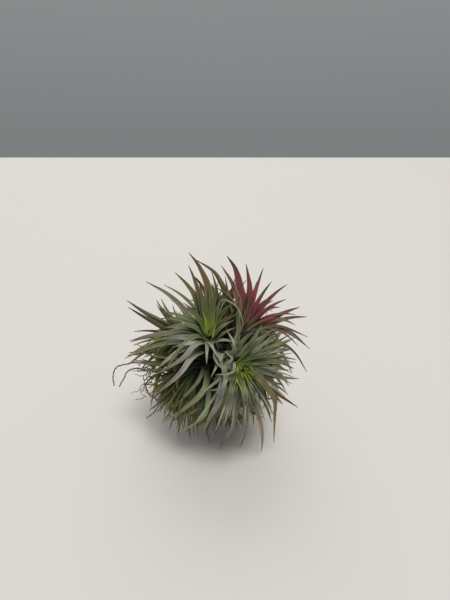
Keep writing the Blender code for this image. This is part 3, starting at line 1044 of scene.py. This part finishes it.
def thatch(random):
    """Old dry leaves round the knot, long withered, that close the gaps deep in the clump. Their near-black
    colour is partly painted shade, so that they read as the shadow in those gaps.
    """
    group = Foliage(random)
    for i in range(THATCH_LEAVES):
        height = 1 - 2 * (i + 0.5) / THATCH_LEAVES
        ring = math.sqrt(1 - height**2)
        way = np.array((ring * math.cos(i * GOLDEN_ANGLE), ring * math.sin(i * GOLDEN_ANGLE), height))
        side = unit(np.cross(way, random.normal(0, 1, 3)))
        bow = np.cross(way, side) * random.uniform(-0.5, 0.5)
        start = KNOT + way * THATCH_START
        reach = unit(way + bow * 0.6) * THATCH_REACH * random.uniform(*THATCH_LENGTHS)
        tip = KNOT + THATCH_SHIFT + reach
        tip[2] = max(tip[2], THATCH_FLOOR)
        line = bent_line(start, start + way * np.linalg.norm(tip - start) * 0.5, tip, THATCH_POINTS)
        if not any(other.is_open and other.is_hidden_by(line) for other in ROSETTES):
            group.add(line, side, random.uniform(*THATCH_WIDTHS), LOOKS["dead_and_shaded"], sections=THATCH_SECTIONS)
    group.piece("dry_thatch_in_painted_shade", "rootstock")


# ------------------------------ roots and stock


ROOT_SIDES, ROOTLET_SIDES = 8, 5
ROOT_END = 1.0  # the size of a CAD root's far end
ROOT_SECTIONS = 90
ROOT_WAVER = 0.12
ROOTLETS = 34
ROOTLET_STARTS = ((-34, -22), (-12, 6), (26, 44))
ROOTLET_STEPS = (8, 20)
ROOTLET_STEP = 0.8
ROOTLET_RADII = (0.24, 0.12)


def tube(line, radii, sides):
    """A round rod's corners, ring by ring along line."""
    along = np.gradient(line, axis=0)
    along /= np.linalg.norm(along, axis=1)[:, None]
    first = unit(np.cross(along[0], (0.3, 0.5, 0.8)))
    points = []
    for spot, way, radius in zip(line, along, radii):
        first = unit(first - way * (first @ way))
        second = np.cross(way, first)
        for k in range(sides):
            turn = math.tau * k / sides
            points.append(spot + (first * math.cos(turn) + second * math.sin(turn)) * radius)
    return np.array(points)


def root_piece(node, random):
    """A root along its CAD solid, thinner towards its end and slightly knobbly."""
    rings = rings_of(node, KNOT, ROOT_END)
    line = through([ring.mean(axis=0) for ring in rings], ROOT_SECTIONS)
    t = np.linspace(0, 1, len(line))
    line[1:-1] += random.normal(0, ROOT_WAVER, (len(line) - 2, 3))
    taper = 0.5 - 0.22 * t
    knobs = 1 + 0.2 * np.sin(t * 140) * random.uniform(0.5, 1, len(line))
    mesh = mesh_of(node + "_bark", tube(line, taper * knobs, ROOT_SIDES), skin(len(line), ROOT_SIDES))
    add_piece(node + "_bark", mesh, ROOT, [node])


def rootlet_line(random):
    """A thin root's wandering line, which turns back where it would leave the plant's box."""
    line = [np.array([random.uniform(low, high) for low, high in ROOTLET_STARTS])]
    way = unit(np.array((-1.0, random.uniform(-0.6, 0.3), random.uniform(-0.7, 0.5))))
    for _ in range(int(random.uniform(*ROOTLET_STEPS))):
        way = unit(way + random.normal(0, 0.5, 3) - UP * 0.05)
        if not is_inside(line[-1] + way * 1.5):
            way = unit(MIDDLE - line[-1]) * np.array((0.4, 0.4, 1))
        line.append(line[-1] + way * ROOTLET_STEP)
    return through(line, len(line) * 2)


def rootlets(random):
    """The finest roots: a loose tangle that hangs where the three long ones leave the clump."""
    points, faces = [], []
    for _ in range(ROOTLETS):
        line = rootlet_line(random)
        faces += skin(len(line), ROOTLET_SIDES, len(points))
        points += list(tube(line, np.linspace(*ROOTLET_RADII, len(line)), ROOTLET_SIDES))
    add_piece("rootlets", mesh_of("rootlets", np.array(points), faces), ROOT)


# ------------------------------ the stage


FLOOR_HALF = 4.0  # metres
FLOOR_COLOUR = (0.6, 0.575, 0.54, 1)
WORLD_LOW, WORLD_HIGH = (0.2, 0.21, 0.21, 1), (0.42, 0.43, 0.45, 1)
SUNLIGHT = (1.0, 0.985, 0.96)
EYE = (0.007, -0.205, 0.1518)  # metres
EYE_TILT = 69.8  # degrees up from straight down


def sun(name, energy, angle, turn):
    """A far, soft light. angle is how wide it looks and turn how it is rotated, both in degrees."""
    lamp = bpy.data.lights.new(name, "SUN")
    lamp.energy = energy
    lamp.angle = math.radians(angle)
    lamp.color = SUNLIGHT
    obj = bpy.data.objects.new(name, lamp)
    obj.rotation_euler = [math.radians(value) for value in turn]
    bpy.context.scene.collection.objects.link(obj)


def pale_floor():
    floor = bpy.data.meshes.new("floor")
    corners = [(x * FLOOR_HALF, y * FLOOR_HALF, 0) for x, y in ((-1, -1), (1, -1), (1, 1), (-1, 1))]
    floor.from_pydata(corners, [], [(0, 1, 2, 3)])
    n = Nodes("pale_floor")
    n.shader.inputs["Base Color"].default_value = FLOOR_COLOUR
    n.shader.inputs["Roughness"].default_value = 0.8
    floor.materials.append(n.material)
    obj = bpy.data.objects.new("floor", floor)
    bpy.context.scene.collection.objects.link(obj)


def studio():
    """An even grey room, lighter overhead, and two soft lights."""
    world = bpy.data.worlds.new("studio")
    world.use_nodes = True
    tree = world.node_tree
    place = tree.nodes.new("ShaderNodeTexCoord")
    parts = tree.nodes.new("ShaderNodeSeparateXYZ")
    ramp = tree.nodes.new("ShaderNodeValToRGB")
    for element, position, colour in zip(ramp.color_ramp.elements, (0.0, 1.0), (WORLD_LOW, WORLD_HIGH)):
        element.position = position
        element.color = colour
    tree.links.new(place.outputs["Generated"], parts.inputs[0])
    tree.links.new(parts.outputs["Z"], ramp.inputs[0])
    tree.links.new(ramp.outputs[0], tree.nodes["Background"].inputs["Color"])
    bpy.context.scene.world = world

    sun("overhead", 2.3, 26, (24, 10, 0))
    sun("from_behind", 0.9, 60, (-48, -12, 0))
    bpy.context.scene.view_settings.view_transform = "Standard"


def camera():
    """A phone held close in front of the plant, looking down on it."""
    lens = bpy.data.cameras.new("camera")
    lens.lens = 26.1
    lens.sensor_width = 36.0
    lens.clip_start = 0.01
    obj = bpy.data.objects.new("camera", lens)
    obj.location = EYE
    obj.rotation_euler = (math.radians(EYE_TILT), 0, 0)
    bpy.context.scene.collection.objects.link(obj)
    bpy.context.scene.camera = obj


def main():
    camera()
    pale_floor()
    studio()
    for rosette in ROSETTES:
        rosette_pieces(rosette)
    random = np.random.default_rng(SEED)
    thatch(random)
    for node in ("root_1", "root_2", "root_3"):
        root_piece(node, random)
    rootlets(random)
    stock = frame["nodes"]["rootstock"]
    stock.data.materials.clear()
    stock.data.materials.append(WOOD)


main()
